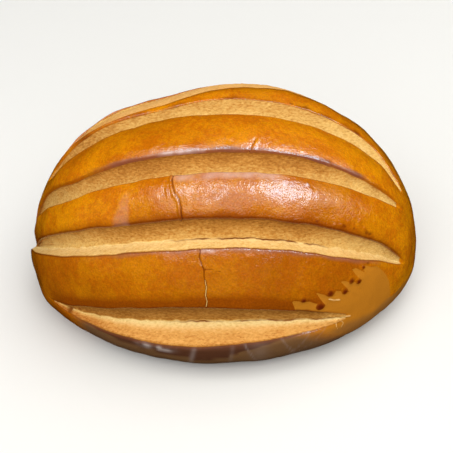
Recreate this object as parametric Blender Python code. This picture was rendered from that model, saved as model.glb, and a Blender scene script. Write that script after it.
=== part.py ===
"""Oval bread bun, scored lengthwise into seven ribs, standing on its flat base.

Metres, +Z up. +X runs along the bun and -Y is its front. The origin is on the
table, under the middle of the bun.
"""

from collections import namedtuple
from math import cos, exp, pi, radians, sin

import bmesh
import bpy
from mathutils import Vector

# Overall form
HALF_LENGTH = 0.065
HALF_WIDTH = 0.0511
WIDEST_HEIGHT = 0.0112      # height of the widest outline above the table
CROWN_RISE = 0.0545         # from the widest outline up to the top
BASE_SHARE = 0.76           # flat base as a share of the widest outline
PLAN_POWER = 1.95           # outline from above: 2 is an ellipse, more is squarer
END_POWER = 2.11            # how the crown falls away towards the two ends
SECTION_POWER = 2.28        # how square the crown is from front to back
BACK_SWELL = 0.03           # extra size of the back towards +X, and loss towards -X
BACK_RISE = 0.0014          # the crown swells this much behind the top
SHOULDER_DIP = 0.0019       # shallow hollow in it, left of the middle
SHOULDER_STATION = -0.30
SHOULDER_REACH = 0.22
HEEL_RISE = 0.0007          # blunt corner low on the left end
HEEL_STATION = -0.885
HEEL_REACH = 0.04
HEEL_ANGLE = 14.0

# Ribs
RIB_CROWN = 0.0008          # how far a rib's middle stands above its edges
FRONT_RIB_STEP = 0.0003     # the second rib's left end stands this proud
UPPER_RIB_DROP = 0.0016     # and the ribs above it stop this short

# Slashes, from the front, over the crown, to the back. An angle runs round the
# bun's length in degrees: 0 at the front, 90 on top, 180 at the back. A station
# runs along it: -1 at the left end, 0 in the middle, 1 at the right end. The
# middle line of a slash leans, bows and twists away from its middle angle. It
# may curl up and open wide at the left end, and droop at the right end. A
# fullness of 2 gives a lens shape, and more keeps the slash open for longer. The
# crease lies at a share of the way from the lower lip to the upper one, and a
# tilt raises it towards the right end. The crumb below it is straight at a swell
# of 1, and bulges up with more.
Slash = namedtuple("Slash", (
    "middle lean bow twist curl droop opening "
    "start finish fullness depth crease tilt swell"
))
SLASHES = (
    Slash(9.6, 0.8, -12.5, 0.0, 0, 0, 7.7, -0.86, 0.61, 1.6, 0.0058, 0.40, 0.16, 1),
    Slash(41.15, 0.7, -11.5, -7.0, 0, 320, 4.5, -1.04, 0.90, 8.0, 0.0047, 0.31, 0.0, 1),
    Slash(65.3, 1.8, -5.5, -3.0, 170, 50, 4.2, -1.12, 0.90, 4.0, 0.0046, 0.32, 0.0, 1),
    Slash(94.0, 0.0, 0.0, 0.0, 0, 750, 5.4, -0.88, 0.905, 12.0, 0.0046, 0.32, 0.0, 1),
    Slash(119.5, 11.0, 0.0, 0.0, 0, 0, 12.0, -0.86, 0.76, 4.0, 0.0042, 0.75, 0.0, 4),
    Slash(149.0, 5.0, -3.0, 0.0, 0, 0, 6.0, -0.84, 0.82, 3.0, 0.0052, 0.42, 0.0, 1),
)
OPENING_POWER = 0.7         # an opening closes more slowly than the depth fades
OPENING_SPREAD = 0.5        # and spans more of the angle where the bun is narrower
CLOSED_OPENING = 0.6        # half the angle that a faded slash still spans
CURL_START = -0.65          # station where a slash's left end begins to curl up
CURL_FLARE = 0.067          # share that it opens more for each degree of curl
DROOP_START = 0.76          # station where a slash's right end begins to droop
LOWEST_LIP = 1.3            # no lip goes below this angle

# Section of a slash, as shares of its width and of its depth
LEDGE = ((0.0, 0.0), (0.13, 0.15), (0.55, 0.63), (1.0, 1.0))
WALL = ((0.30, 0.90), (0.62, 0.68), (0.88, 0.34), (1.0, 0.0))

# Fineness
STATION_STEPS = 42
RIB_STEPS = 6
UNDERSIDE_RINGS = 6

CRUST_COLOUR = (0.46, 0.165, 0.022, 1.0)
CRUST_ROUGHNESS = 0.32


def smooth_step(low, high, value):
    share = min(max((value - low) / (high - low), 0.0), 1.0)
    return share * share * (3 - 2 * share)


def end_scale(station, power):
    """Size of a cross section at a station, as a share of the middle one."""
    return max(1 - abs(station) ** power, 0.0) ** (1 / power)


def crown_point(station, angle):
    """Point of the smooth crown, before ribs and slashes."""
    across = cos(radians(angle))
    up = sin(radians(angle))
    reach = (abs(across) ** SECTION_POWER + abs(up) ** SECTION_POWER) ** (-1 / SECTION_POWER)
    reach *= 1 + BACK_SWELL * station * (1 - station ** 2) * smooth_step(70, 125, angle)
    return Vector((
        HALF_LENGTH * station,
        -HALF_WIDTH * end_scale(station, PLAN_POWER) * reach * across,
        WIDEST_HEIGHT + CROWN_RISE * end_scale(station, END_POWER) * reach * up,
    ))


def crown_normal(station, angle):
    """Outward direction of the smooth crown."""
    near = 0.01
    station = min(max(station, near - 1), 1 - near)
    along = crown_point(station + near / 2, angle) - crown_point(station - near / 2, angle)
    around = crown_point(station, angle + near) - crown_point(station, angle - near)
    return along.cross(around).normalized()


def slash_at(slash, station):
    """Middle angle, half opening and depth of a slash at a station."""
    middle = slash.middle + slash.lean * station + slash.bow * station ** 2 + slash.twist * station ** 3
    curl = slash.curl * max(CURL_START - station, 0.0) ** 2
    droop = slash.droop * max(min(station, slash.finish) - DROOP_START, 0.0) ** 2
    way = (station - slash.start) / (slash.finish - slash.start)
    fade = max(1 - abs(2 * way - 1) ** slash.fullness, 0.0)
    size = end_scale(station, 2)
    full = slash.opening / max(size, 0.3) ** OPENING_SPREAD * (1 + CURL_FLARE * curl)
    opening = CLOSED_OPENING + (full - CLOSED_OPENING) * fade ** OPENING_POWER
    return middle + curl - droop, opening, slash.depth * fade * min(size / 0.3, 1.0)


def slash_section(slash, station):
    """Angles and lifts across one slash, from its lower lip to its upper lip."""
    middle, opening, depth = slash_at(slash, station)
    low = max(middle - opening, LOWEST_LIP)
    high = max(middle + opening, low + CLOSED_OPENING)
    crease = low + (high - low) * (slash.crease + slash.tilt * station)
    ledge = [(low + (crease - low) * way, -depth * sink ** slash.swell) for way, sink in LEDGE]
    wall = [(crease + (high - crease) * way, -depth * sink) for way, sink in WALL]
    return ledge + wall


def section(station):
    """Angles and lifts of the whole crown at a station, from front to back."""
    cuts = [slash_section(slash, station) for slash in SLASHES]
    edges = [0.0] + [side for cut in cuts for side in (cut[0][0], cut[-1][0])] + [180.0]
    sag = RIB_CROWN * end_scale(station, 2)
    points = [(0.0, 0.0)]
    for rib in range(len(SLASHES) + 1):
        low, high = edges[2 * rib], edges[2 * rib + 1]
        for step in range(1, RIB_STEPS):
            way = step / RIB_STEPS
            points.append((low + (high - low) * way, -sag * (2 * way - 1) ** 2))
        if rib < len(cuts):
            points += [(angle, lift - sag) for angle, lift in cuts[rib]]
    return points + [(180.0, 0.0)]


def left_end_lift(station, angle):
    """The second rib stands proud at the left end, and the ribs above it stop short."""
    near_end = smooth_step(-0.70, -0.99, station)
    split = slash_at(SLASHES[1], station)[0]
    proud = FRONT_RIB_STEP * smooth_step(4, 16, angle)
    above = smooth_step(split - 1, split + 1, angle) * smooth_step(178, 150, angle)
    drop = UPPER_RIB_DROP * (1 - 0.55 * smooth_step(48, 70, angle))
    return near_end * (proud * (1 - above) - drop * above)


def unevenness(station, angle):
    """The swell behind the top with the hollow in it, and the heel in front."""
    fade = smooth_step(178, 150, angle)
    rise = BACK_RISE * smooth_step(96, 116, angle) * fade
    rise *= smooth_step(-0.95, -0.55, station) * smooth_step(0.7, 0.25, station)
    hollow = exp(-((station - SHOULDER_STATION) / SHOULDER_REACH) ** 2) * smooth_step(85, 105, angle)
    hollow *= smooth_step(175, 150, angle)
    heel = exp(-((station - HEEL_STATION) / HEEL_REACH) ** 2 - (angle / HEEL_ANGLE) ** 2)
    return rise - SHOULDER_DIP * hollow + HEEL_RISE * heel


def skin_point(station, angle, lift):
    lift += left_end_lift(station, angle) + unevenness(station, angle)
    return crown_point(station, angle) + crown_normal(station, angle) * lift


def shape_crown(bm):
    """A flat grid bent over into the crown, with its two ends gathered to points."""
    sections = len(section(0.0)) - 1
    bmesh.ops.create_grid(bm, x_segments=STATION_STEPS, y_segments=sections, size=1)
    for vert in bm.verts:
        turn = (vert.co.x + 1) / 2 * pi
        column = round((vert.co.y + 1) / 2 * sections)
        station = -cos(turn)
        if abs(station) > 0.99999:
            vert.co = (HALF_LENGTH * station, 0, WIDEST_HEIGHT)
        else:
            vert.co = skin_point(station, *section(station)[column])
    bmesh.ops.remove_doubles(bm, verts=bm.verts, dist=1e-6)


def shape_underside(bm):
    """The outline drawn in and down, ring by ring, to the flat base."""
    rim = [edge for edge in bm.edges if edge.is_boundary]
    share = 1.0
    for ring in range(1, UNDERSIDE_RINGS + 1):
        turn = pi / 2 * ring / UNDERSIDE_RINGS
        before = share
        share = BASE_SHARE + (1 - BASE_SHARE) * cos(turn)
        made = bmesh.ops.extrude_edge_only(bm, edges=rim)["geom"]
        for vert in (item for item in made if isinstance(item, bmesh.types.BMVert)):
            vert.co.x *= share / before
            vert.co.y *= share / before
            vert.co.z = WIDEST_HEIGHT * (1 - sin(turn))
        rim = [item for item in made if isinstance(item, bmesh.types.BMEdge) and item.is_boundary]
    bmesh.ops.contextual_create(bm, geom=rim)


def crust_material():
    material = bpy.data.materials.new("crust")
    material.use_nodes = True
    shader = material.node_tree.nodes["Principled BSDF"]
    shader.inputs["Base Color"].default_value = CRUST_COLOUR
    shader.inputs["Roughness"].default_value = CRUST_ROUGHNESS
    shader.inputs["Metallic"].default_value = 0.0
    return material


def make_bun():
    bm = bmesh.new()
    shape_crown(bm)
    shape_underside(bm)
    bmesh.ops.recalc_face_normals(bm, faces=bm.faces)
    mesh = bpy.data.meshes.new("bun")
    bm.to_mesh(mesh)
    bm.free()
    mesh.shade_smooth()
    mesh.set_sharp_from_angle(angle=radians(50))
    mesh.materials.append(crust_material())
    bun = bpy.data.objects.new("bun", mesh)
    bpy.context.scene.collection.objects.link(bun)


for old in list(bpy.data.objects):
    bpy.data.objects.remove(old, do_unlink=True)
make_bun()
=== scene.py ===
import math

import bpy
import numpy as np
from mathutils import Matrix, Vector, noise


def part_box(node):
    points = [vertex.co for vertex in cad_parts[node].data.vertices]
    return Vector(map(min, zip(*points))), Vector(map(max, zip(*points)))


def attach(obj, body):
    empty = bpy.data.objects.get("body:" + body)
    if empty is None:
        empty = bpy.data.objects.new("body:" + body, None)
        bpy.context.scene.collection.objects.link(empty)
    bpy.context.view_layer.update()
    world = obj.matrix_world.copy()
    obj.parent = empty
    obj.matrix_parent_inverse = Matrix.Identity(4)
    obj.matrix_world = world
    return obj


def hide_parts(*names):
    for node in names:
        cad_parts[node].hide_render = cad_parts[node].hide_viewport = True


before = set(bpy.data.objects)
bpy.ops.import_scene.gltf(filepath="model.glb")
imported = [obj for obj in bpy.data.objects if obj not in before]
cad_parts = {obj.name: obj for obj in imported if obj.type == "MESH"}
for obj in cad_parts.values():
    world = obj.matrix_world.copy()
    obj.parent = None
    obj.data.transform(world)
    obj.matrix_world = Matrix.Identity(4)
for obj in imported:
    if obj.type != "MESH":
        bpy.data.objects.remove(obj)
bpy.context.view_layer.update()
cadLow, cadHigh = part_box("bun")
mm = 0.001
print("stage: frame loaded")


def smoothStep(low, high, value):
    # 0 at low and 1 at high, whichever of the two is the larger
    share = np.clip((value - low) / (high - low), 0.0, 1.0)
    return share * share * (3 - 2 * share)


def bell(value, middle, reach):
    return np.exp(-((value - middle) / reach) ** 2)


def linearColour(hexColour):
    # sRGB hex to the linear values that a shader socket takes
    channels = [int(hexColour[i:i + 2], 16) / 255 for i in (1, 3, 5)]
    return [c / 12.92 if c <= 0.04045 else ((c + 0.055) / 1.055) ** 2.4 for c in channels] + [1.0]


def deselectAll():
    if bpy.context.object and bpy.context.object.mode != "OBJECT":
        bpy.ops.object.mode_set(mode="OBJECT")
    bpy.ops.object.select_all(action="DESELECT")


def noiseAt(points, lump, seed=0.0, stretch=1.0):
    # smooth noise, about -1 to 1, with lumps of one size in metres, drawn out along X
    scale = Vector((1 / (lump * stretch), 1 / lump, 1 / lump))
    shift = Vector((seed * 7.31, seed * 3.17, seed * 5.71))
    flat = points.reshape(-1, 3)
    values = [noise.noise(Vector(p) * scale + shift) for p in flat]
    return np.array(values).reshape(points.shape[:-1]) * 1.6


def waver(station, lump, seed):
    # the same along the bun's length alone, for lips and creases
    length = bunForm["halfLength"]
    return np.array([noise.noise((x * length / lump, seed * 9.7, seed * 4.3)) for x in station]) * 1.6


# the bun's form, with the solid's own sizes, then the finer ones that only show close up
bunForm = {
    "halfLength": 0.065,
    "halfWidth": 0.0511,
    "widestHeight": 0.0112,
    "crownRise": 0.0545,
    "baseShare": 0.76,
    "planPower": 1.95,
    "endPower": 2.11,
    "sectionPower": 2.28,
    "backSwell": 0.03,
    "shoulderDip": 0.0019,
    "shoulderStation": -0.30,
    "shoulderReach": 0.22,
    "backRise": 0.0014,
    "ribCrown": 0.0008,
    "frontRibStep": 0.0003,
    "upperRibDrop": 0.0016,
    "openingPower": 0.7,
    "openingSpread": 0.5,
    "closedOpening": 0.6,
    "curlStart": -0.65,
    "curlFlare": 0.067,
    "droopStart": 0.76,
    "lowestLip": 1.3,
    "heelRise": 0.0007,
    "heelStation": -0.885,
    "heelReach": 0.04,
    "heelAngle": 14.0,
    "lipEase": (0.0, 0.05, 0.12, 0.36, 0.0, 0.0, 0.0),  # mm that each rib bows down towards its lower lip
    "lipEaseReach": 3.6 * mm,
    "lipEaseEnds": (0.15, 0.35),  # stations between which that bow eases off
    "lipRoll": (1.0, 1.0, 1.0, 0.6, 0.2, 0.3, 0.5),  # mm, radius of each rib's rolled lower edge
    "edgeRoll": 0.45 * mm,  # and of its crisper upper edge
    "leastLipRoll": 0.04,   # share of a roll that stays where a slash closes
    "leastEdgeRoll": 0.08,
    "wallTuck": 1.55,       # rolls that a wall starts below the lip over it
    "lipWaver": 0.16 * mm,
    "creaseWaver": 0.30 * mm,
    "seamDepth": 0.3 * mm,
    "seamEnds": ((-0.30, -0.05), (0.6, 0.45)),  # stations where the open seam begins and ends
    "holeDepth": 0.5 * mm,
    "threadRise": 0.22 * mm,
    "crumbRelief": 0.13 * mm,
    "crustRelief": 0.13 * mm,
}
# each slash's course and section, from the front to the back, with the solid's own values
slashFormKeys = ("middle", "lean", "bow", "twist", "curl", "droop", "opening",
                 "start", "finish", "fullness", "depth", "crease", "tilt", "swell")
slashForms = (
    (9.6, 0.8, -12.5, 0.0, 0, 0, 7.7, -0.86, 0.61, 1.6, 0.0058, 0.40, 0.16, 1),
    (41.15, 0.7, -11.5, -7.0, 0, 320, 4.5, -1.04, 0.90, 8.0, 0.0047, 0.31, 0.0, 1),
    (65.3, 1.8, -5.5, -3.0, 170, 50, 4.2, -1.12, 0.90, 4.0, 0.0046, 0.32, 0.0, 1),
    (94.0, 0.0, 0.0, 0.0, 0, 750, 5.4, -0.88, 0.905, 12.0, 0.0046, 0.32, 0.0, 1),
    (119.5, 11.0, 0.0, 0.0, 0, 0, 12.0, -0.86, 0.76, 4.0, 0.0042, 0.75, 0.0, 4),
    (149.0, 5.0, -3.0, 0.0, 0, 0, 6.0, -0.84, 0.82, 3.0, 0.0052, 0.42, 0.0, 1),
)
# how toasted its crumb is, from the ledge up the wall, where the darker wall is also painted shade under the
# lip, and extra at the left, the ledge's warm tint, how strong its seam is, whose dark line is painted shade,
# and how far open it has to be at the right end to show crumb
slashLookKeys = ("ledgeToast", "creaseToast", "wallFootToastAndShade", "wallToastAndShade", "leftToast", "warm", "seam", "tip")
slashLooks = (
    (0.46, 0.06, 0.82, 1.00, 0.28, 0.8, 1.0, 0.02),
    (0.26, 0.10, 0.60, 0.94, 0.0, 0.2, 1.0, 0.15),
    (0.42, 0.44, 0.64, 0.95, 0.05, 0.0, 0.0, 0.15),
    (0.34, 0.32, 0.36, 0.62, 0.35, 0.2, 0.0, 0.15),
    (0.30, 0.22, 0.36, 0.60, 0.15, 0.7, 0.0, 0.15),
    (0.50, 0.36, 0.55, 0.85, 0.0, 0.2, 0.3, 0.15),
)
slashes = [dict(zip(slashFormKeys + slashLookKeys, form + look)) for form, look in zip(slashForms, slashLooks)]
fineness = {
    "stationPitches": (  # stations, and the millimetres from one section to the next there
        (-1, 0.5), (-0.9, 0.65), (-0.5, 0.62), (-0.24, 0.55), (-0.215, 0.22), (-0.125, 0.22), (-0.11, 0.40),
        (-0.08, 0.40), (-0.07, 0.22), (-0.015, 0.22), (0.0, 0.48), (0.3, 0.50), (0.34, 0.32), (0.70, 0.32),
        (0.74, 0.45), (0.9, 0.55), (1, 0.45)),
    "widestTurn": 0.03,  # radians from one section to the next at most
    "ribSteps": (6, 34, 26, 28, 10, 6, 7),
    "ledgeSteps": (12, 9, 6, 6, 12, 5),
    "wallSteps": (11, 13, 12, 10, 6, 6),
    "lipTurns": (90, 68, 48, 30, 14),  # degrees round a rib's rolled lower edge
    "edgeTurns": (25, 55, 90),         # and round its upper edge
    "frontRings": 12,
    "backRings": 7,
}


farOff = 9.0  # metres, more than any real distance on the bun
plainColumn = {  # what a line of points along the bun is where it doesn't say
    "turn": 0, "crumb": 0, "toastAndShade": 0, "warm": 0, "lipGap": farOff, "edgeGap": farOff,
    "open": 0, "seam": 0, "seamGap": farOff, "slash": -1, "rib": -1}


def endScale(station, power):
    return np.clip(1 - np.abs(station) ** power, 0, None) ** (1 / power)


def crownPoint(station, angle):
    form = bunForm
    across, up = np.cos(np.radians(angle)), np.sin(np.radians(angle))
    power = form["sectionPower"]
    reach = (np.abs(across) ** power + np.abs(up) ** power) ** (-1 / power)
    reach = reach * (1 + form["backSwell"] * station * (1 - station ** 2) * smoothStep(70, 125, angle))
    return np.stack([
        form["halfLength"] * station + 0 * angle,
        -form["halfWidth"] * endScale(station, form["planPower"]) * reach * across,
        form["widestHeight"] + form["crownRise"] * endScale(station, form["endPower"]) * reach * up,
    ], axis=-1)


def crownNormal(station, angle):
    near = 0.01
    inner = np.clip(station, near - 1, 1 - near)
    along = crownPoint(inner + near / 2, angle) - crownPoint(inner - near / 2, angle)
    around = crownPoint(inner, angle + near) - crownPoint(inner, angle - near)
    normal = np.cross(along, around)
    return normal / np.linalg.norm(normal, axis=-1, keepdims=True)


def crownGirth(station, angle):
    # metres round the crown for one degree
    step = crownPoint(station, angle + 0.5) - crownPoint(station, angle - 0.5)
    return np.maximum(np.linalg.norm(step, axis=-1), 1e-5)


def slashAt(slash, station):
    # middle angle, half opening and depth share of a slash
    middle = slash["middle"] + slash["lean"] * station + slash["bow"] * station ** 2
    middle = middle + slash["twist"] * station ** 3
    curl = slash["curl"] * np.maximum(bunForm["curlStart"] - station, 0) ** 2
    droop = slash["droop"] * np.maximum(np.minimum(station, slash["finish"]) - bunForm["droopStart"], 0) ** 2
    way = (station - slash["start"]) / (slash["finish"] - slash["start"])
    fade = np.clip(1 - np.abs(2 * way - 1) ** slash["fullness"], 0, None)
    closed = bunForm["closedOpening"]
    size = endScale(station, 2)
    full = slash["opening"] / np.maximum(size, 0.3) ** bunForm["openingSpread"]
    full = full * (1 + bunForm["curlFlare"] * curl)
    opening = closed + (full - closed) * fade ** bunForm["openingPower"]
    return middle + curl - droop, opening, fade * np.minimum(size / 0.3, 1)


def bodyLift(station, angle):
    # the left end's step, and the swell and the hollow behind the top
    form = bunForm
    nearEnd = 1 - smoothStep(-0.99, -0.70, station)
    split = slashAt(slashes[1], station)[0]
    above = smoothStep(split - 1, split + 1, angle) * (1 - smoothStep(150, 178, angle))
    proud = form["frontRibStep"] * smoothStep(4, 16, angle)
    drop = form["upperRibDrop"] * (1 - 0.55 * smoothStep(48, 70, angle))
    endStep = nearEnd * (proud * (1 - above) - drop * above)
    hollow = bell(station, form["shoulderStation"], form["shoulderReach"]) * smoothStep(85, 105, angle)
    hollow = hollow * (1 - smoothStep(150, 175, angle))
    rise = smoothStep(96, 116, angle) * (1 - smoothStep(150, 178, angle))
    rise = form["backRise"] * rise * smoothStep(-0.95, -0.55, station) * (1 - smoothStep(0.25, 0.7, station))
    heel = bell(station, form["heelStation"], form["heelReach"]) * bell(angle, 0, form["heelAngle"])
    return endStep + rise - form["shoulderDip"] * hollow + form["heelRise"] * heel


def makeStations():
    # finer where the crust has cracks and drips, coarser at the plain ends
    places, pitches = zip(*fineness["stationPitches"])
    turns, turn = [0.0], 0.0
    while turn < math.pi:
        station = -math.cos(turn)
        pitch = np.interp(station, places, pitches) * mm
        turn += min(fineness["widestTurn"], pitch / bunForm["halfLength"] / max(math.sin(turn), 0.05))
        turns.append(turn)
    return -np.cos(np.array(turns) * math.pi / turns[-1])


def slashLines(index, station):
    # the two lips and the crease of a slash, each a little ragged
    slash = slashes[index]
    middle, opening, fade = slashAt(slash, station)
    girth = crownGirth(station, middle)
    steady = np.minimum(fade * 3, 1)
    lipRag = bunForm["lipWaver"] / girth * steady
    low = np.maximum(middle - opening, bunForm["lowestLip"]) + waver(station, 5 * mm, index + 1) * lipRag
    high = middle + opening + waver(station, 6 * mm, index + 11) * lipRag
    high = np.maximum(high, low + bunForm["closedOpening"])
    crease = low + (high - low) * (slash["crease"] + slash["tilt"] * station)
    creaseRag = waver(station, 3 * mm, index + 21) + 0.5 * waver(station, 1.1 * mm, index + 31)
    crease = crease + creaseRag * bunForm["creaseWaver"] / girth * steady
    return {"low": low, "crease": crease, "high": high, "girth": girth,
            "fade": fade, "depth": slash["depth"] * fade}


def lipEase(rib, station):
    # how far a rib bows down towards its lower lip, less towards the right
    return bunForm["lipEase"][rib] * mm * (1 - 0.8 * smoothStep(*bunForm["lipEaseEnds"], station))


def shutShare(fade):
    # 0 where a slash has closed, so that its two sides lie flush, and 1 soon after it opens
    return np.clip(fade * 25, 0, 1)


def rollAt(edge, rib, fade):
    # radius of a rib's rolled lower lip or upper edge, tighter where its slash closes
    if edge == "lip":
        return bunForm["lipRoll"][rib] * mm * np.clip(fade * 2.5, bunForm["leastLipRoll"], 1)
    return bunForm["edgeRoll"] * np.clip(fade * 2.5, bunForm["leastEdgeRoll"], 1)


def ribSag(station, openShare):
    # how far a rib's edges lie below its middle
    return bunForm["ribCrown"] * endScale(station, 2) * np.minimum(openShare * 2, 1)


def ribPlaces(rib, station, low, high, below, above):
    # angles across a rib, each with how far its rolled edges drop there
    zero = 0 * station
    girth = crownGirth(station, (low + high) / 2)
    widest = 0.15 * (high - low) * girth
    lowRoll = np.minimum(rollAt("lip", rib, below["fade"]), widest) if below else zero
    highRoll = np.minimum(rollAt("edge", rib, above["fade"]), widest) if above else zero
    places = []
    if below:
        step = lowRoll * shutShare(below["fade"])
        places += [(low + lowRoll * (1 - math.sin(t)) / girth, step * (1 - math.cos(t)))
                   for t in np.radians(fineness["lipTurns"])]
    for step in range(fineness["ribSteps"][rib] + 1):
        even = step / fineness["ribSteps"][rib]
        way = 0.5 * even + 0.25 * (1 - math.cos(math.pi * even))  # closer together near the two edges
        places.append((low + lowRoll / girth + (high - low - (lowRoll + highRoll) / girth) * way, zero))
    if above:
        step = highRoll * shutShare(above["fade"])
        places += [(high - highRoll * (1 - math.sin(t)) / girth, step * (1 - math.cos(t)))
                   for t in np.radians(fineness["edgeTurns"])]
    return places


def ribColumns(rib, station, below, above):
    # one rib, from the slash below it to the slash above it
    low = below["high"] if below else 0 * station
    high = above["low"] if above else 0 * station + 180
    girth = crownGirth(station, (low + high) / 2)
    lowFade, highFade = (below or above)["fade"], (above or below)["fade"]
    columns = []
    for angle, drop in ribPlaces(rib, station, low, high, below, above):
        way = (angle - low) / (high - low)
        openShare = np.where(way < 0.5, lowFade, highFade)
        edgeWay = np.clip(2 * way - 1, -1 if below else 0, 1 if above else 0)  # -1 at the lower edge
        fromLip = (angle - low) * girth if below else farOff
        eased = np.clip(1 - fromLip / bunForm["lipEaseReach"], 0, 1) ** 2 * openShare
        columns.append({
            "angle": angle, "open": openShare, "rib": rib, "toastAndShade": 1, "lipGap": fromLip,
            "lift": -ribSag(station, openShare) * edgeWay ** 2 - (drop + lipEase(rib, station) * eased),
            "edgeGap": (high - angle) * girth if above else farOff,
        })
    return columns


def slashColumns(index, station, lines):
    # from the lower lip down the ledge to the crease, then up the wall to under the upper lip
    slash, fade = slashes[index], lines["fade"]
    sag, shut = ribSag(station, fade), shutShare(fade)
    widest = 0.5 * (lines["high"] - lines["low"]) * lines["girth"]
    ledgeTop = np.minimum(rollAt("edge", index, fade), widest) * shut
    lipRoll = np.minimum(rollAt("lip", index + 1, fade), widest)
    wallTop = bunForm["wallTuck"] * lipRoll * shut + lipEase(index + 1, station) * fade
    depth = np.maximum(lines["depth"], wallTop)
    seamStart, seamFinish = bunForm["seamEnds"]
    seam = smoothStep(-1.0, 0.3, waver(station, 4 * mm, index + 41)) * slash["seam"]
    seam = seam * smoothStep(*seamStart, station) * smoothStep(*seamFinish, station)
    columns = []
    for step in range(1, fineness["ledgeSteps"][index] + 1):
        way = step / fineness["ledgeSteps"][index]
        sink = (way * (1.18 - 0.18 * way)) ** slash["swell"]
        toCrease = smoothStep(0.3, 0.85, way)
        columns.append({
            "angle": lines["low"] + (lines["crease"] - lines["low"]) * way,
            "lift": -sag - ledgeTop - (depth - ledgeTop) * sink - bunForm["seamDepth"] * seam * (way == 1),
            "toastAndShade": slash["ledgeToast"] + (slash["creaseToast"] - slash["ledgeToast"]) * toCrease,
            "warm": slash["warm"] * smoothStep(0.95, 0.55, way),
        })
    paler = (0.65 + 0.35 * smoothStep(-0.80, -0.35, station)) * (1 - 0.38 * smoothStep(0.40, 0.70, station))
    rest = (1 - 0.95 ** 2.4) ** 0.85  # the wall is a rounded quarter that stops just short of upright
    under = 0.25 * lipRoll * shut / lines["girth"]
    for step in range(1, fineness["wallSteps"][index] + 1):
        way = step / fineness["wallSteps"][index]
        share = ((1 - (0.95 * way) ** 2.4) ** 0.85 - rest) / (1 - rest)
        # painted shade: the wall darkens up towards the lip over it, as well as toasting there
        toasted = slash["wallFootToastAndShade"] + (slash["wallToastAndShade"] - slash["wallFootToastAndShade"]) * way ** 1.3
        columns.append({
            "angle": lines["crease"] + (lines["high"] + under - lines["crease"]) * way,
            "lift": -sag - wallTop - (depth - wallTop) * share,
            "toastAndShade": toasted * paler,
        })
    for column in columns:
        column["toastAndShade"] = column["toastAndShade"] + slash["leftToast"] * smoothStep(-0.35, -0.75, station)
        column.update(crumb=np.minimum(fade * 8, 1), open=fade, slash=index, seam=seam,
                      seamGap=np.abs(column["angle"] - lines["crease"]) * lines["girth"])
    return columns


def underColumns(station, rings, front):
    # the rounded lower edge, from the flat base out to the widest outline
    columns = []
    for ring in range(rings):
        turn = math.pi / 2 * (1 - ring / rings)
        columns.append({"turn": turn, "angle": 0 * station + (0 if front else 180), "lift": 0 * station})
    return columns if front else columns[::-1]


def placeColumn(column, station):
    angle = column["angle"]
    lift = column["lift"] + bodyLift(station, angle)
    points = crownPoint(station, angle) + crownNormal(station, angle) * lift[:, None]
    for row in np.flatnonzero(np.abs(station) > 0.99999):
        points[row] = (math.copysign(bunForm["halfLength"], station[row]), 0, bunForm["widestHeight"])
    if column["turn"]:
        share = bunForm["baseShare"] + (1 - bunForm["baseShare"]) * math.cos(column["turn"])
        points[:, :2] *= share
        points[:, 2] = bunForm["widestHeight"] * (1 - math.sin(column["turn"]))
    return points


def gridNormals(points):
    along = np.gradient(points, axis=0)
    around = np.gradient(points, axis=1)
    normals = np.cross(along, around)
    return normals / np.maximum(np.linalg.norm(normals, axis=-1, keepdims=True), 1e-12)


def layColumns(name):
    return np.stack([0 * stations + column[name] for column in columns], axis=1)


def pathGap(path):
    # metres over the crust from each point to a line, and how far each lies to its right
    girth = crownGirth(*np.mean(path, axis=0, keepdims=True).T)[0]
    corners = np.array(path) * [bunForm["halfLength"], girth]
    gap, side = np.full(angles.shape, farOff), np.zeros(angles.shape)
    for start, end in zip(corners[:-1], corners[1:]):
        run = end - start
        offAlong, offAround = along - start[0], angles * girth - start[1]
        way = np.clip((offAlong * run[0] + offAround * run[1]) / (run @ run), 0, 1)
        distance = np.hypot(offAlong - way * run[0], offAround - way * run[1])
        nearer = distance < gap
        gap = np.where(nearer, distance, gap)
        side = np.where(nearer, offAlong - way * run[0], side)
    return gap, side


def spotGap(station, angle):
    # metres over the crust from each point to one place
    girth = crownGirth(np.array([station]), np.array([angle]))[0]
    return np.hypot(along - station * bunForm["halfLength"], (angles - angle) * girth)


def roundMarks(places):
    # 1 in the middle of each mark, fading out over its radius
    return np.max([bell(spotGap(x, a), 0, radius * mm) for x, a, radius in places], axis=0)


def outlineGap(along, around, outline):
    # metres inside an outline drawn over the crust, negative outside it
    corners = np.array(outline) * [bunForm["halfLength"], patchForm["girth"]]
    inside, gap = np.zeros(along.shape, bool), np.full(along.shape, farOff)
    for (ax, ay), (bx, by) in zip(corners, np.roll(corners, -1, axis=0)):
        runX, runY = bx - ax, by - ay
        way = np.clip(((along - ax) * runX + (around - ay) * runY) / (runX ** 2 + runY ** 2), 0, 1)
        gap = np.minimum(gap, np.hypot(along - ax - way * runX, around - ay - way * runY))
        crosses = (ay > around) != (by > around)
        inside ^= crosses & (along < ax + (around - ay) * runX / (runY or 1e-12))
    return np.where(inside, gap, -gap)


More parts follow.
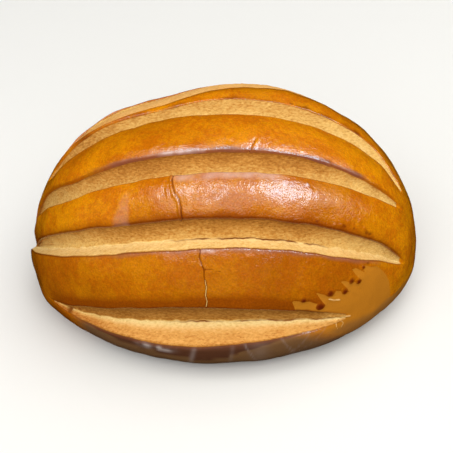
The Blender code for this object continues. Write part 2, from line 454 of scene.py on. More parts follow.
# the crust that the egg wash missed, drawn as station and degrees, and the drips that hang into it
patchForm = {
    "girth": 0.68 * mm,  # metres for a degree there
    "outline": [
        (0.689, 27.0), (0.727, 25.8), (0.753, 25.6), (0.783, 22.0), (0.802, 18.8), (0.816, 15.0),
        (0.829, 5.2), (0.829, -6), (0.80, -90), (0.62, -90), (0.62, -10), (0.50, 2.5), (0.42, 8),
        (0.371, 13.2), (0.352, 17.9), (0.385, 17.2), (0.428, 16.6), (0.449, 15.4), (0.510, 13.6),
        (0.488, 16.0), (0.474, 17.2), (0.454, 20.0), (0.485, 18.8), (0.536, 17.2), (0.551, 19.2),
        (0.580, 18.0), (0.622, 16.6), (0.664, 12.8), (0.610, 17.6), (0.598, 19.8), (0.572, 22.9),
        (0.594, 22.3), (0.643, 20.6), (0.686, 19.6), (0.662, 22.2), (0.628, 26.5), (0.650, 26.5),
        (0.689, 24.0), (0.734, 20.4), (0.684, 25.0)],
    "drops": [  # with each one's radius in mm
        (0.660, 20.6, 0.90), (0.625, 21.6, 0.90), (0.594, 17.8, 1.00), (0.523, 18.6, 1.15),
        (0.480, 13.8, 1.30), (0.402, 17.8, 0.90), (0.686, 26.2, 0.60)],
    "step": 0.20 * mm,
    "dropRise": 0.30 * mm,
}
# dark baked spots along the lips, as station, degrees and radius in mm
blotches = [
    (0.364, 100.6, 0.8), (0.435, 100.8, 0.9), (0.689, 102.0, 1.0), (0.530, 69.6, 0.6), (0.428, 57.8, 0.35),
    (0.435, 57.0, 0.35), (0.594, 43.4, 0.5), (0.640, 42.6, 0.35), (0.700, 41.0, 0.55), (0.716, 40.5, 0.45),
    (0.469, 44.8, 0.4), (0.238, 26.4, 0.30), (0.71, 27.6, 0.6)]
# small holes in the crumb, darkened inside with painted shade, as station, degrees and radius in mm
holes = [(-0.748, 2.25, 0.75), (-0.700, 4.25, 0.60)]
# dry threads of crumb that stick to the crust, as station and degrees, with each one's half width in mm
threads = [
    ([(0.530, 7.6), (0.562, 6.8), (0.600, 5.8), (0.622, 5.2)], 0.26),
    ([(0.520, 16.2), (0.543, 15.2), (0.570, 14.8)], 0.28),
    ([(0.562, 5.4), (0.556, 3.2), (0.562, 1.2)], 0.13),
    ([(0.575, 4.6), (0.592, 3.2), (0.580, 1.2)], 0.13),
    ([(-0.044, 31.6), (-0.030, 30.9), (-0.012, 30.9), (0.010, 30.7)], 0.03),
]
# cracks, folds and wrinkles across the crust: the path, as station and degrees, then in mm how deep each
# is, or how high where that is negative, its reach, and a raised rim's height, reach and place to one side
plainCrack = (0.0, 0.6, 0.0)  # a crack without a rim
cracks = {
    "fold": (
        [(-0.180, 61.0), (-0.183, 58.4), (-0.176, 55.9), (-0.168, 54.0), (-0.149, 51.9), (-0.141, 49.8),
         (-0.139, 47.6), (-0.137, 46.0), (-0.130, 44.0)], 0.45, 0.20, 0.38, 0.34, -0.55),
    "foldBeside": ([(-0.208, 56.2), (-0.203, 54.2), (-0.196, 52.4)], -0.20, 0.34),
    "split": (
        [(-0.055, 38.0), (-0.057, 35.4), (-0.061, 34.2), (-0.054, 32.8), (-0.046, 31.2), (-0.040, 30.4),
         (-0.041, 28.5), (-0.038, 27.0)], 0.55, 0.22, 0.22, 0.5),
    "tear": (
        [(-0.037, 27.2), (-0.032, 24.8), (-0.038, 22.2), (-0.032, 20.2), (-0.038, 18.2)], 0.20, 0.34, 0.12),
    "branch": (
        [(-0.046, 31.2), (-0.031, 30.4), (-0.014, 30.4), (0.012, 30.2), (0.036, 29.6)], 0.42, 0.22, 0.24, 0.5),
    "creaseOne": ([(-0.050, 31.8), (-0.070, 32.2), (-0.092, 32.4), (-0.112, 31.8)], -0.16, 0.35),
    "creaseTwo": ([(-0.050, 31.0), (-0.070, 30.4), (-0.085, 29.6)], -0.15, 0.35),
    "wrinkleOne": ([(-0.128, 57.5), (-0.118, 54.5), (-0.108, 51.0)], -0.14, 0.9),
    "wrinkleTwo": ([(-0.035, 58.0), (-0.060, 54.5), (-0.072, 50.0)], -0.12, 0.9),
    "wrinkleThree": ([(0.030, 57.5), (0.010, 54.0)], -0.10, 1.0),
    "patchNotchOne": ([(0.619, 16.5), (0.640, 14.6), (0.660, 13.0)], 0.24, 0.22),
    "patchNotchTwo": ([(0.631, 19.8), (0.655, 17.6), (0.678, 15.5)], 0.22, 0.22),
    "nick": ([(0.196, 74.6), (0.176, 71.4), (0.160, 68.4)], 0.42, 0.30, 0.35, 0.4, 0.6),
    "dent": ([(0.086, 76.8), (0.066, 75.6), (0.062, 73.4), (0.084, 72.6)], 0.18, 0.5),
    "notch": ([(0.071, 107.0), (0.070, 102.0), (0.068, 97.0)], 0.25, 0.45),
}
blisters = {
    "places": [
        (0.428, 58.2), (0.442, 55.8), (0.612, 44.8), (0.666, 45.5), (0.689, 42.6), (0.716, 41.5),
        (0.549, 43.6), (0.575, 43.6), (0.238, 27.2), (0.399, 27.8), (0.154, 34.0), (0.530, 25.5),
        (0.536, 68.5), (-0.72, 24.0), (0.12, 132.0), (-0.35, 160.0), (0.41, 156.0)],
    "radius": 0.55,  # mm
    "rise": 0.24 * mm,
}

stations = makeStations()
allLines = [slashLines(index, stations) for index in range(len(slashes))]
edgePuckers = (  # creases that the second rib's upper edge draws down: station, and degrees that each runs
    (0.05, 2.0), (0.12, 2.6), (0.17, 1.8), (0.225, 3.0), (0.26, 2.0), (0.33, 2.4), (0.41, 2.8))
for x, drawn in edgePuckers:
    edge = float(np.interp(x, stations, allLines[1]["low"]))
    cracks["edgePucker" + str(x)] = ([(x, edge + 0.3), (x + 0.008, edge - drawn)], 0.17, 0.32)
columns = underColumns(stations, fineness["frontRings"], True)
for rib in range(len(slashes) + 1):
    below = allLines[rib - 1] if rib > 0 else None
    above = allLines[rib] if rib < len(slashes) else None
    columns += ribColumns(rib, stations, below, above)
    if above:
        columns += slashColumns(rib, stations, above)
columns += underColumns(stations, fineness["backRings"], False)
columns = [{**plainColumn, **column} for column in columns]
points = np.stack([placeColumn(column, stations) for column in columns], axis=1)
angles, crumbShare, openShare = layColumns("angle"), layColumns("crumb"), layColumns("open")
turns = layColumns("turn")
stationGrid = stations[:, None] + 0 * angles
along = stationGrid * bunForm["halfLength"]
plainPoints = points.copy()
print("stage: sections laid,", len(stations), "by", len(columns))

# relief: crust undulations, crumb pores, cracks, drips and blisters, all pushed along the skin
skin = gridNormals(points)
nearPole = smoothStep(1.0, 0.985, np.abs(stationGrid))
crustShare = 1 - np.minimum(crumbShare * 2, 1)
wide = noiseAt(points, 11 * mm, 1)
swell = noiseAt(points, 6 * mm, 2)
pucker = noiseAt(points, 2.6 * mm, 3)
pores = noiseAt(points, 1.1 * mm, 4, 1.6) + 0.6 * noiseAt(points, 0.55 * mm, 5, 1.3)
lumps = noiseAt(points, 3.2 * mm, 6, 1.8)
relief = crustShare * bunForm["crustRelief"] * (1.2 * wide + swell + 0.35 * pucker)
relief += (1 - crustShare) * bunForm["crumbRelief"] * (0.8 * pores + 0.9 * lumps)

darkCrack = 0.35  # mm deep, from where a crack gets a dark line of painted shade
crackGap, tearGap = np.full(angles.shape, farOff), None
for name, sizes in cracks.items():
    path, groove, reach, rim, rimReach, rimSide = sizes + plainCrack[len(sizes) - 3:]
    gap, side = pathGap(path)
    if name == "tear":
        tearGap = gap
    if groove > darkCrack:
        crackGap = np.minimum(crackGap, gap)
    raised = rim * mm * bell(side if rimSide else gap, rimSide * mm, rimReach * mm)
    raised = raised * (1 - smoothStep(1.2 * mm, 2.4 * mm, gap))
    relief += crustShare * (raised - groove * mm * bell(gap, 0, reach * mm))

# the missed patch lies a coat of glaze lower, and the drips end in round drops
around = (angles - np.degrees(turns) * np.where(angles < 90, 1, -1)) * patchForm["girth"]
bareGap = outlineGap(along + 0.25 * mm * pucker, around + 0.25 * mm * swell, patchForm["outline"])
patchGaps = [spotGap(x, a) - radius * mm for x, a, radius in patchForm["drops"]]
bareGap = np.min([bareGap] + patchGaps, axis=0)
drops = roundMarks(patchForm["drops"])
relief -= crustShare * patchForm["step"] * smoothStep(-0.25 * mm, 0.25 * mm, bareGap)
relief += crustShare * patchForm["dropRise"] * drops
threadGap = np.min([pathGap(path)[0] - halfWidth * mm for path, halfWidth in threads], axis=0)
relief += bunForm["threadRise"] * smoothStep(0.25 * mm, -0.1 * mm, threadGap)
spots = np.max([smoothStep(1.25, 0.65, spotGap(x, a) / (radius * mm) + 0.25 * swell)
                for x, a, radius in blotches], axis=0)
pitted = roundMarks(holes)
relief -= bunForm["holeDepth"] * pitted
blistered = roundMarks([(x, a, blisters["radius"]) for x, a in blisters["places"]])
relief += crustShare * blisters["rise"] * blistered
atBase = smoothStep(math.pi / 2, math.pi / 2 - 0.25, turns)
points = points + skin * (relief * nearPole * atBase)[..., None]
print("stage: relief done")


def vertexPlaces(piece):
    flat = np.empty(len(piece.data.vertices) * 3)
    piece.data.vertices.foreach_get("co", flat)
    return flat.reshape(-1, 3)


def isCrumb(faceRow, faceColumn):
    # whether each face is torn crumb: it lies in a slash that has opened there
    after = np.minimum(np.arange(len(columns)) + 1, len(columns) - 1)
    slash = np.maximum(slashIndex, slashIndex[after])
    tip = np.array([slashes[max(index, 0)]["tip"] for index in slash])[faceColumn]
    leastOpen = 0.05 + (tip - 0.05) * smoothStep(0.4, 0.6, stations[faceRow])
    return (slash[faceColumn] >= 0) & (openShare[faceRow, after[faceColumn]] > leastOpen)


def closeMesh(bun):
    # the grid's two ends are gathered to points, and its open base is filled
    bpy.ops.object.mode_set(mode="EDIT")
    bpy.ops.mesh.select_mode(type="VERT")
    bpy.ops.mesh.select_all(action="SELECT")
    bpy.ops.mesh.remove_doubles(threshold=1e-6)
    bpy.ops.mesh.select_all(action="DESELECT")
    bpy.ops.mesh.select_non_manifold()
    bpy.ops.mesh.edge_face_add()
    bun.active_material_index = 2
    bpy.ops.object.material_slot_assign()
    bpy.ops.mesh.select_all(action="SELECT")
    bpy.ops.mesh.normals_make_consistent(inside=False)
    bpy.ops.object.mode_set(mode="OBJECT")
    bpy.ops.object.shade_smooth_by_angle(angle=math.radians(60))


def makeBunMesh():
    # a flat grid bent over into the bun
    deselectAll()
    rows, across = points.shape[:2]
    bpy.ops.mesh.primitive_grid_add(x_subdivisions=rows - 1, y_subdivisions=across - 1, size=2)
    bun = bpy.context.active_object
    bun.name = bun.data.name = "ribbedBun"
    row, column = np.rint((vertexPlaces(bun)[:, :2] + 1) / 2 * (rows - 1, across - 1)).astype(int).T
    bun.data.vertices.foreach_set("co", points[row, column].ravel())
    for name, field in fields.items():
        attribute = bun.data.attributes.new(name, "FLOAT", "POINT")
        attribute.data.foreach_set("value", field[row, column])
    for material in (crustMaterial(), crumbMaterial(), baseMaterial()):
        bun.data.materials.append(material)
    corners = np.empty(len(bun.data.loops), int)
    bun.data.loops.foreach_get("vertex_index", corners)
    corners = corners.reshape(-1, 4)
    crumbFaces = isCrumb(row[corners].min(axis=1), column[corners].min(axis=1))
    bun.data.polygons.foreach_set("material_index", crumbFaces.astype(int))
    closeMesh(bun)
    return bun


def fitToSolid(piece):
    # the finer relief never reaches past the solid it stands for
    places = vertexPlaces(piece)
    low, high = places.min(axis=0), places.max(axis=0)
    goalLow, goalHigh = np.array(cadLow), np.array(cadHigh)
    places = goalLow + (places - low) * (goalHigh - goalLow) / (high - low)
    piece.data.vertices.foreach_set("co", places.ravel())
    piece.data.update()


def addNode(tree, kind, values=None, **settings):
    node = tree.nodes.new(kind)
    for name, value in settings.items():
        setattr(node, name, value)
    for socket, value in (values or {}).items():
        if isinstance(value, bpy.types.NodeSocket):
            tree.links.new(value, node.inputs[socket])
        else:
            node.inputs[socket].default_value = value
    return node


def perMm(size):
    # the scale of a pattern whose lumps are so many millimetres wide, over coordinates in metres
    return 1000 / size


def newMaterial(name):
    material = bpy.data.materials.new(name)
    material.use_nodes = True
    tree = material.node_tree
    tree.nodes.clear()
    return material, tree


crustLook = {
    "amber": "#e68706",
    "gold": "#f2a004",
    "russet": "#d47205",
    "baked": "#9d4c03",
    "maroon": "#6b2306",
    "mauveSheen": "#96604e",
    "bare": "#c27a1e",
    "plumShade": "#52301f",
    "greyShade": "#6b4e33",
    "glare": "#aa9b93",
    "gleam": "#ecd2cc",
    "crumb": "#e6bb6a",
    "thread": "#f0bf78",
    "amberShare": 0.38,
    "roughness": 0.34,
    "bareRoughness": 0.6,
    "coatRoughness": 0.11,
    "coatIor": 1.75,
    "cloudSize": 9,  # sizes and heights in mm
    "mottleSize": 1.5,
    "freckleSize": 0.55,
    "freckleDepth": 0.16,
    "pebbleSize": 1.9,
    "pebbleHeight": 0.13,
    "grainSize": 0.48,
    "grainHeight": 0.10,
}
crumbLook = {
    "cream": "#ffdf98",
    "golden": "#e6bb6a",
    "toasted": "#c3883a",
    "deep": "#a0651f",
    "warmth": "#ffdcc0",
    "crease": "#8f5012",
    "roughness": 0.85,
    "drawnOut": (0.45, 1, 1),  # its patterns run along the bun
    "grainSize": 0.5,
    "grainDepth": 0.15,
    "cloudSize": 4,
    "cloudDepth": 0.07,
    "pitDepth": 0.22,
    "pitSize": 0.42,
    "poreSize": 0.55,
    "poreHeight": 0.30,
    "clodSize": 1.7,
    "clodHeight": 0.22,
}
baseLook = {"brown": "#9a5a26", "tan": "#b87634", "cloudSize": 9, "roughness": 0.7}


def crustMaterial():
    # baked egg-wash glaze: mottled amber, darker where it browned more, matte tan where no wash went, with
    # painted sheen, highlights, glare and shade laid over it
    look = crustLook
    material, tree = newMaterial("eggWashedCrust")
    place = addNode(tree, "ShaderNodeTexCoord").outputs["Object"]
    values = {name: addNode(tree, "ShaderNodeAttribute", attribute_name=name).outputs["Fac"] for name in (
        "bake", "mauveSheen", "lipDarkAndShade", "edgeDark", "bareGap", "bareSoft", "crackGap", "tearGap", "threadGap",
        "plumShade", "greyShade", "glare", "gleam", "drop")}
    noises = {}
    for name, detail in (("cloud", 3.0), ("mottle", 4.0), ("freckle", 2.0), ("pebble", 2.0), ("grain", 1.0)):
        lumps = {"Vector": place, "Scale": perMm(look[name + "Size"]), "Detail": detail}
        noises[name] = addNode(tree, "ShaderNodeTexNoise", lumps).outputs["Fac"]
    mottle = addNode(tree, "ShaderNodeMath", {0: noises["cloud"], 1: noises["mottle"]}, operation="ADD")
    for name, source, low, high, least, most in (  # where each share begins and ends, and its two strengths
            ("mottle", mottle.outputs[0], 0.84, 1.16, 0, 1),
            ("freckle", noises["freckle"], 0.3, 0.7, 1 - look["freckleDepth"], 1 + look["freckleDepth"]),
            ("bareEdge", values["bareGap"], -0.05, 0.05, 0, 1),
            # painted shade: a dark line along the deeper cracks and folds
            ("crack", values["crackGap"], 0.26, 0.12, 0, 0.65),
            ("tearRim", values["tearGap"], 0.40, 0.22, 0, 0.75),
            ("tear", values["tearGap"], 0.17, 0.09, 0, 1),
            ("thread", values["threadGap"], 0.05, -0.05, 0, 1)):
        ends = {"Value": source, "From Min": low, "From Max": high, "To Min": least, "To Max": most}
        values[name] = addNode(tree, "ShaderNodeMapRange", ends).outputs[0]
    for name, first, other in (("bare", "bareEdge", "bareSoft"), ("dull", "bare", "greyShade")):
        pair = {0: values[first], 1: values[other]}
        values[name] = addNode(tree, "ShaderNodeMath", pair, operation="MAXIMUM").outputs[0]
    values["amber"] = look["amberShare"]
    colour = linearColour(look["russet"])
    for share, tone in (  # each is laid over those before it
            ("mottle", "gold"), ("amber", "amber"), ("bake", "baked"), ("mauveSheen", "mauveSheen"), ("bare", "bare"),
            ("greyShade", "greyShade"), ("plumShade", "plumShade"), ("glare", "glare"), ("lipDarkAndShade", "maroon"),
            ("edgeDark", "maroon"), ("drop", "maroon"), ("gleam", "gleam"), ("crack", "maroon"),
            ("tearRim", "maroon"), ("tear", "crumb"), ("thread", "thread")):
        layer = {0: values[share], 6: colour, 7: linearColour(look[tone])}
        colour = addNode(tree, "ShaderNodeMix", layer, data_type="RGBA").outputs[2]
        if share == "bake":  # freckles are in the baked crust itself, under every mark on it
            layer = {0: 1.0, 6: colour, 7: values["freckle"]}
            colour = addNode(tree, "ShaderNodeMix", layer, data_type="RGBA", blend_type="MULTIPLY").outputs[2]
    glaze = addNode(tree, "ShaderNodeMapRange", {"Value": values["dull"], "From Min": 1.0, "From Max": 0.0})
    roughness = addNode(tree, "ShaderNodeMapRange", {
        "Value": values["bare"], "To Min": look["roughness"], "To Max": look["bareRoughness"]})
    bump = addNode(tree, "ShaderNodeBump", {"Height": noises["pebble"], "Distance": look["pebbleHeight"] * mm})
    bump = addNode(tree, "ShaderNodeBump", {"Height": noises["grain"], "Distance": look["grainHeight"] * mm,
                                             "Normal": bump.outputs["Normal"]}).outputs["Normal"]
    shader = addNode(tree, "ShaderNodeBsdfPrincipled", {
        "Base Color": colour, "Roughness": roughness.outputs[0], "Specular IOR Level": 0.03,
        "Coat Weight": glaze.outputs[0], "Coat IOR": look["coatIor"], "Coat Roughness": look["coatRoughness"],
        "Normal": bump, "Coat Normal": bump})
    addNode(tree, "ShaderNodeOutputMaterial", {"Surface": shader.outputs["BSDF"]})
    return material


def crumbMaterial():
    # torn, suede-like bread: cream in the open, golden to toasted towards the lips, darker there also as
    # painted shade, with a dark crease line of painted shade
    look = crumbLook
    material, tree = newMaterial("tornCrumb")
    place = addNode(tree, "ShaderNodeTexCoord").outputs["Object"]
    drawn = addNode(tree, "ShaderNodeMapping", {"Vector": place, "Scale": look["drawnOut"]}).outputs[0]
    values = {name: addNode(tree, "ShaderNodeAttribute", attribute_name=name).outputs["Fac"]
              for name in ("toastAndShade", "warm", "seam", "seamGap")}
    noises = {}
    for name, detail in (("grain", 3.0), ("cloud", 3.0), ("pit", 1.0), ("pore", 5.0), ("clod", 2.0)):
        lumps = {"Vector": drawn, "Scale": perMm(look[name + "Size"]), "Detail": detail}
        noises[name] = addNode(tree, "ShaderNodeTexNoise", lumps).outputs["Fac"]
    tone = values["toastAndShade"]
    for name, low, high, least in (("grain", 0.3, 0.7, -1), ("cloud", 0.3, 0.7, -1), ("pit", 0.60, 0.74, 0)):
        depth = look[name + "Depth"]
        ends = {"Value": noises[name], "From Min": low, "From Max": high,
                "To Min": least * depth, "To Max": depth}
        share = addNode(tree, "ShaderNodeMapRange", ends).outputs[0]
        tone = addNode(tree, "ShaderNodeMath", {0: tone, 1: share}, operation="ADD").outputs[0]
    tones = addNode(tree, "ShaderNodeValToRGB", {"Fac": tone})
    tones.color_ramp.elements[0].color = linearColour(look["cream"])
    tones.color_ramp.elements[1].color = linearColour(look["deep"])
    for share, name in ((0.40, "golden"), (0.75, "toasted")):
        tones.color_ramp.elements.new(share).color = linearColour(look[name])
    # painted shade: the crease colour darkens the crumb along the seam, at the bottom of the slash
    ends = {"Value": values["seamGap"], "From Min": 0.34, "From Max": 0.14}
    nearSeam = addNode(tree, "ShaderNodeMapRange", ends).outputs[0]
    seam = addNode(tree, "ShaderNodeMath", {0: nearSeam, 1: values["seam"]}, operation="MULTIPLY")
    colour = tones.outputs["Color"]
    for share, name, kind in ((values["warm"], "warmth", "MULTIPLY"), (seam.outputs[0], "crease", "MIX")):
        layer = {0: share, 6: colour, 7: linearColour(look[name])}
        colour = addNode(tree, "ShaderNodeMix", layer, data_type="RGBA", blend_type=kind).outputs[2]
    bump = addNode(tree, "ShaderNodeBump", {"Height": noises["clod"], "Distance": look["clodHeight"] * mm})
    bump = addNode(tree, "ShaderNodeBump", {"Height": noises["pore"], "Distance": look["poreHeight"] * mm,
                                             "Normal": bump.outputs["Normal"]}).outputs["Normal"]
    shader = addNode(tree, "ShaderNodeBsdfPrincipled", {
        "Base Color": colour, "Roughness": look["roughness"], "Specular IOR Level": 0.25, "Normal": bump})
    addNode(tree, "ShaderNodeOutputMaterial", {"Surface": shader.outputs["BSDF"]})
    return material


def baseMaterial():
    # the flat underside that lay on the baking sheet: even matte brown
    look = baseLook
    material, tree = newMaterial("sheetBakedBase")
    place = addNode(tree, "ShaderNodeTexCoord").outputs["Object"]
    lumps = {"Vector": place, "Scale": perMm(look["cloudSize"]), "Detail": 4.0}
    cloud = addNode(tree, "ShaderNodeTexNoise", lumps).outputs["Fac"]
    share = addNode(tree, "ShaderNodeMapRange", {"Value": cloud, "From Min": 0.35, "From Max": 0.65})
    layer = {0: share.outputs[0], 6: linearColour(look["brown"]), 7: linearColour(look["tan"])}
    colour = addNode(tree, "ShaderNodeMix", layer, data_type="RGBA").outputs[2]
    shader = addNode(tree, "ShaderNodeBsdfPrincipled", {"Base Color": colour, "Roughness": look["roughness"]})
    addNode(tree, "ShaderNodeOutputMaterial", {"Surface": shader.outputs["BSDF"]})
    return material


# what the two finishes read at each point
browning = {
    # how brown each rib is baked, from the front to the back, at each of these stations
    "stations": (-1, -0.8, -0.5, -0.2, 0.1, 0.4, 0.6, 0.75, 0.9, 1),
    "ribs": (
        (0.55, 0.8, 0.5, 0.3, 0.3, 0.3, 0.3, 0.3, 0.3, 0.25),
        (0.6, 0.66, 0.48, 0.56, 0.68, 0.76, 0.80, 0.5, 0.1, 0.0),
        (0.05, 0.10, 0.27, 0.48, 0.54, 0.64, 0.58, 0.30, 0.10, 0.0),
        (0.05, 0.1, 0.38, 0.46, 0.30, 0.24, 0.2, 0.2, 0.1, 0.0),
        (0.3, 0.42, 0.38, 0.18, 0.35, 0.2, 0.15, 0.15, 0.2, 0.2),
        (0.4, 0.4, 0.4, 0.4, 0.4, 0.4, 0.4, 0.3, 0.3, 0.2),
        (0.55, 0.45, 0.4, 0.4, 0.4, 0.4, 0.4, 0.3, 0.3, 0.25),
    ),
    "patchy": 0.10,  # how much it varies from place to place
    "lipLine": (0.0, 1.0, 0.70, 0.50, 0.6, 0.1, 0.3),   # strength of the dark line on each rib's lower lip, partly baked darker, partly painted shade under the lip
    "edgeLine": (0.35, 0.6, 0.5, 0.5, 0.4, 0.4, 0.4),   # and along its upper edge
    "lipGlow": (0.0, 0.65, 0.40, 0.10, 0.0, 0.1, 0.2),  # and of the browner zone above the lower lip
    "glowReach": (6, 6, 2.6, 2, 2, 3, 3),               # mm that this zone reaches up
}
# painted sheen, highlights and shade on the crust: the two stations over which each comes in, and those over
# which it goes
marks = {
    "lipSheenBand": ((-0.62, -0.40), (0.74, 0.66)),     # painted dull mauve sheen over the fourth rib's lower lip
    "edgeSheenBand": ((-0.65, -0.35), (0.80, 0.70)),    # and painted sheen along the second rib's upper edge
    "lipGleam": ((-0.28, -0.20), (-0.02, -0.08)),  # painted highlight on the fourth rib's lip
    "edgeGleam": ((-0.058, -0.050), (0.025, -0.01)),
    "veilGleam": ((-0.20, -0.14), (0.36, 0.26)),        # painted highlight along the third rib's upper edge
    "plumShadeBand": ((-0.66, -0.58), (0.30, 0.24)),    # painted shade: dark brown under the lowest slash, where the front turns down
    "rightShade": ((0.42, 0.58), (0.98, 0.88)),    # greyish shade low on the right
}
strengths = {"lipGleam": 0.75, "edgeGleam": 0.6, "wedgeGleam": 0.13, "veilGleam": 0.42, "tip": 0.6, "plumShade": 0.95,
             "grey": 0.95, "rightShade": 0.5, "glareStreaks": 0.45, "glints": 1.3, "blotches": 0.6, "lipDarkAndShade": 0.95}
plumShadeWidths = (  # stations, and how many millimetres wide the painted dark brown shade is there
    (-0.62, 0.3), (-0.4, 2.2), (-0.2, 3.2), (-0.04, 5.0), (0.05, 4.0), (0.12, 2.0), (0.26, 0.5))
frontGlareStreaks = (  # painted glare: pale streaks of reflection low on the front: station, lean, half width and strength
    (-0.122, 0.004, 0.012, 0.7), (0.065, 0.002, 0.01, 0.5), (0.155, -0.006, 0.005, 0.7), (0.2, 0, 0.045, 0.35),
    (0.335, -0.008, 0.005, 0.8), (0.385, 0.012, 0.006, 0.5), (0.445, 0.016, 0.005, 0.5))
frontGlints = (  # painted glints: station, mm down and half width
    (-0.345, 0.7, 0.030), (-0.275, 0.7, 0.012), (-0.235, 1.3, 0.030))


def ribValues(name):
    # one value of each rib spread over the columns, with nothing for the crumb
    return np.array(browning[name] + (0.0,))[ribIndex]


def markReach(name):
    begins, ends = marks[name]
    return smoothStep(*begins, stationGrid) * smoothStep(*ends, stationGrid)


lipGap, edgeGap = layColumns("lipGap") / mm, layColumns("edgeGap") / mm
ribIndex, slashIndex = (np.array([column[kind] for column in columns]) for kind in ("rib", "slash"))
firstSlash, lastRib = 0, len(slashes)
bakedAs = np.where(slashIndex >= 0, slashIndex, np.where(angles[0] < 90, 0, lastRib))
bakedAs = np.where(ribIndex >= 0, ribIndex, bakedAs)
opened = np.minimum(openShare * 3, 1)
rag = noiseAt(plainPoints, 4 * mm, 12, 1.5)
patchy = noiseAt(plainPoints, 7 * mm, 13, 1.6)
fray = noiseAt(plainPoints, 1.5 * mm, 14, 1.6)
bake = np.stack([np.interp(stations, browning["stations"], browning["ribs"][rib]) for rib in bakedAs], axis=1)
glow = smoothStep(np.maximum(ribValues("glowReach"), 1) + 0.8, 0.8, lipGap) * opened
bake = bake + browning["patchy"] * patchy + ribValues("lipGlow") * glow
second, third, fourth = ((ribIndex == rib) * crustShare for rib in (1, 2, 3))
# painted sheen: a dull mauve reflection over the fourth rib's lower lip, the second rib's upper edge and the
# second rib's lip near the right end
lipSheenBand = fourth * smoothStep(1.6 + 0.4 * rag, 0.8, lipGap) * markReach("lipSheenBand") * (0.8 + 0.25 * rag)
edgeSheenBand = second * smoothStep(1.5 + 0.5 * rag, 0.5, edgeGap) * markReach("edgeSheenBand") * (0.45 + 0.2 * rag)
tipSheenBand = second * smoothStep(0.9, 0.5, lipGap) * bell(stationGrid, 0.52, 0.07)
# the fifth rib's line is broken, and weaker at the left
fifthLine = (0.75 + 0.25 * smoothStep(-0.5, 0.1, stationGrid)) * (0.6 + 0.8 * rag)
lipLine = np.clip(ribValues("lipLine") * np.where(ribIndex == 4, fifthLine, 1), 0, 1)
# the dark line on each lower lip: crust baked darker at its edge, and painted shade where the lip rolls over
# the slash
lipDarkAndShade = smoothStep(1.2 + 0.35 * rag + 0.35 * fray, 0.25, lipGap) * opened * lipLine

# the front, below the lowest slash: painted shade and glare, and the soft edge of the unglazed patch
under = (turns > 0) & (angles < 90)
frontDepth = (allLines[0]["low"][:, None] - angles) * crownGirth(stations, 0 * stations)[:, None] / mm
frontDepth = frontDepth + 11.5 * turns * under  # mm down the front from the lowest slash
leaning = stationGrid - 0.03 * (frontDepth - 3)
front = ((ribIndex == 0) | (slashIndex == firstSlash) | under) * crustShare
# painted shade: dark brown over the front where it turns down below the lowest slash
plumShadeWidth = np.interp(stationGrid, *zip(*plumShadeWidths)) + 0.5 * rag
plumShadeBand = front * smoothStep(plumShadeWidth + 0.25, plumShadeWidth - 0.25, frontDepth) * markReach("plumShadeBand")
plumShadeBand = plumShadeBand * smoothStep(-0.05, 0.3, frontDepth)
# painted shade: darker grey-tan low on the front towards the right, with a greyish painted reflection, and a
# duller glaze there
greyShadeBand = front * smoothStep(-0.74, -0.62, stationGrid) * smoothStep(0.62, 0.40, leaning)
rightShade = smoothStep(0.5, 3.5, frontDepth + 3 * smoothStep(0.72, 0.86, stationGrid))
rightShade = front * rightShade * markReach("rightShade")
bareSoft = front * smoothStep(0.40, 0.62, leaning) * smoothStep(0.98, 0.84, stationGrid)
# painted glare: pale streaks and glints of reflection low on the front
glareStreaks = sum(bell(stationGrid + lean * (frontDepth - 4), x, reach) * strength
              for x, lean, reach, strength in frontGlareStreaks) * (0.7 + 0.3 * rag)
glints = sum(bell(stationGrid, x, reach) * bell(frontDepth, depth, 0.7)
             for x, depth, reach in frontGlints) * (0.6 + 0.5 * fray)
glare = strengths["glareStreaks"] * glareStreaks + strengths["glints"] * glints

# painted highlights: pale shine on the glaze
slant = stationGrid + 0.415 + 0.0055 * (56 - angles) + 0.004 * rag
wedgeGleam = smoothStep(0.0, 0.025, slant) * smoothStep(-0.375, -0.395, stationGrid + 0.003 * rag)
gleams = {
    "lipGleam": fourth * bell(lipGap, 0.5, 0.45) * markReach("lipGleam") * (0.75 + 0.5 * fray),
    "edgeGleam": second * bell(edgeGap, 0.75, 0.5) * markReach("edgeGleam") * (0.7 + 0.5 * fray),
    "wedgeGleam": third * wedgeGleam * smoothStep(57.0, 53.0, angles) * (0.8 + 0.4 * fray),
    "veilGleam": third * smoothStep(3.6, 1.2, edgeGap + 0.5 * rag) * markReach("veilGleam")
            * (0.8 + 0.35 * rag + 0.3 * fray),
}
gleam = sum(strengths[name] * share for name, share in gleams.items())

fields = {
    "bake": np.clip(bake, 0, 1),
    "mauveSheen": np.clip(lipSheenBand + edgeSheenBand + strengths["tip"] * tipSheenBand, 0, 1),
    "lipDarkAndShade": crustShare * strengths["lipDarkAndShade"] * lipDarkAndShade,
    "edgeDark": crustShare * smoothStep(0.45, 0.1, edgeGap) * opened * ribValues("edgeLine"),
    "bareGap": np.clip(bareGap / mm, -3, 3),
    "crackGap": np.clip(crackGap / mm, 0, 3),
    "tearGap": np.clip(tearGap / mm, 0, 3),
    "threadGap": np.clip(threadGap / mm, -3, 3),
    "bareSoft": bareSoft,
    "plumShade": strengths["plumShade"] * plumShadeBand,
    "greyShade": np.maximum(strengths["grey"] * greyShadeBand, strengths["rightShade"] * rightShade),
    "glare": front * np.clip(glare, 0, 0.85),
    "gleam": np.clip(gleam, 0, 0.8),
    "drop": np.maximum(np.clip(2 * drops - 0.6, 0, 1), strengths["blotches"] * spots) * crustShare,
    "toastAndShade": layColumns("toastAndShade"),
    "warm": layColumns("warm"),
    # painted shade: the crease's dark colour also fills the holes
    "seam": np.maximum(layColumns("seam"), smoothStep(0.2, 0.5, pitted)),
    "seamGap": np.where(pitted > 0.2, 0, np.clip(layColumns("seamGap") / mm, 0, 3)),
}
bun = makeBunMesh()
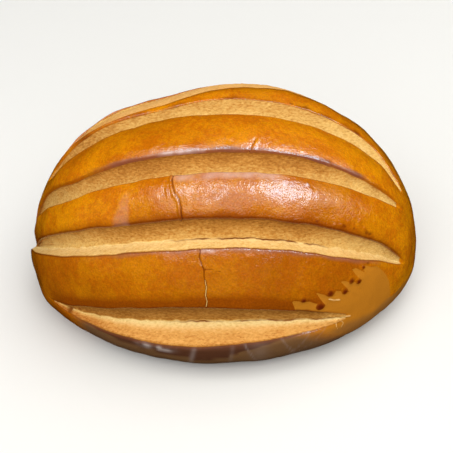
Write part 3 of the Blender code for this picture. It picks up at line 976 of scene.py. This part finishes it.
fitToSolid(bun)
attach(bun, "root")
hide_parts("bun")
print("stage: bun made,", len(bun.data.polygons), "faces")


def makeFloor():
    deselectAll()
    bpy.ops.mesh.primitive_plane_add(size=8)
    floor = bpy.context.active_object
    floor.name = "paleFloor"
    material, tree = newMaterial("paleTabletop")
    look = {"Base Color": linearColour("#efefee"), "Roughness": 0.9}
    shader = addNode(tree, "ShaderNodeBsdfPrincipled", look)
    addNode(tree, "ShaderNodeOutputMaterial", {"Surface": shader.outputs["BSDF"]})
    floor.data.materials.append(material)
    floor.visible_glossy = False   # the crust's shine comes from the lamps alone
    floor.visible_diffuse = False  # and its shaded side stays deep


def makeLight(name, place, size, radiance, tint=(1, 1, 1), diffuse=True, glossy=True, level=None):
    # a soft panel of so much radiance, turned to face the bun, or level and turned by an angle
    deselectAll()
    bpy.ops.object.light_add(type="AREA", location=place)
    lamp = bpy.context.active_object
    lamp.name = name
    lamp.data.shape = "RECTANGLE"
    lamp.data.size, lamp.data.size_y = size
    lamp.data.energy = radiance * math.pi * size[0] * size[1]
    lamp.data.color = tint
    facing = (-Vector(place)).to_track_quat("-Z", "Y").to_euler()
    lamp.rotation_euler = facing if level is None else (0, 0, level)
    lamp.visible_camera = False
    lamp.visible_diffuse = diffuse
    lamp.visible_glossy = glossy


lamps = {
    "overheadSoftbox": {"place": (0.85, -0.375, 1.0), "size": (3.1, 1.19), "radiance": 1.32,
                        "tint": (1.0, 0.96, 0.86), "level": math.radians(8)},
    # these two give a shine alone, without light of their own
    "nearerLamp": {"place": (0.55, -0.17, 0.97), "size": (0.40, 0.40), "radiance": 9.0,
                   "tint": (0.66, 0.97, 1.20), "diffuse": False},
    "secondLamp": {"place": (-0.20, -0.22, 1.0), "size": (0.35, 0.18), "radiance": 6.8,
                   "tint": (0.66, 0.97, 1.20), "diffuse": False},
    # and these give light alone, without a shine
    "frontFill": {"place": (0.0, -1.5, 0.75), "size": (2.4, 2.4), "radiance": 1.55, "glossy": False},
    "leftFill": {"place": (-1.5, -0.4, 0.8), "size": (1.4, 1.4), "radiance": 0.9, "glossy": False},
    "topFill": {"place": (0.45, 0.45, 1.2), "size": (1.4, 1.4), "radiance": 1.15, "glossy": False},
}
ambient = 0.14
makeFloor()
for name, settings in lamps.items():
    makeLight(name, **settings)
world = bpy.data.worlds.new("softRoom")
world.use_nodes = True
background = world.node_tree.nodes["Background"]
background.inputs["Color"].default_value = (1, 1, 1, 1)
background.inputs["Strength"].default_value = ambient
world.cycles_visibility.glossy = False
bpy.context.scene.world = world
bpy.context.scene.view_settings.view_transform = "Standard"

cameraForm = {
    "target": (0.00149, 0, 0.01978),
    "distance": 0.325,
    "azimuth": math.radians(4),
    "elevation": math.radians(38),
    "lens": 76.66,
    "roll": math.radians(-3.25),
}
azimuth, elevation = cameraForm["azimuth"], cameraForm["elevation"]
level = math.cos(elevation)
back = Vector((math.sin(azimuth) * level, -math.cos(azimuth) * level, math.sin(elevation)))
bpy.ops.object.camera_add(location=Vector(cameraForm["target"]) + back * cameraForm["distance"])
camera = bpy.context.active_object
camera.name = "frontCamera"
camera.data.lens = cameraForm["lens"]
camera.data.sensor_width = 36
facing = back.to_track_quat("Z", "Y").to_matrix()
camera.rotation_euler = (facing @ Matrix.Rotation(cameraForm["roll"], 3, "Z")).to_euler()
bpy.context.scene.camera = camera
print("stage: lights and camera set")
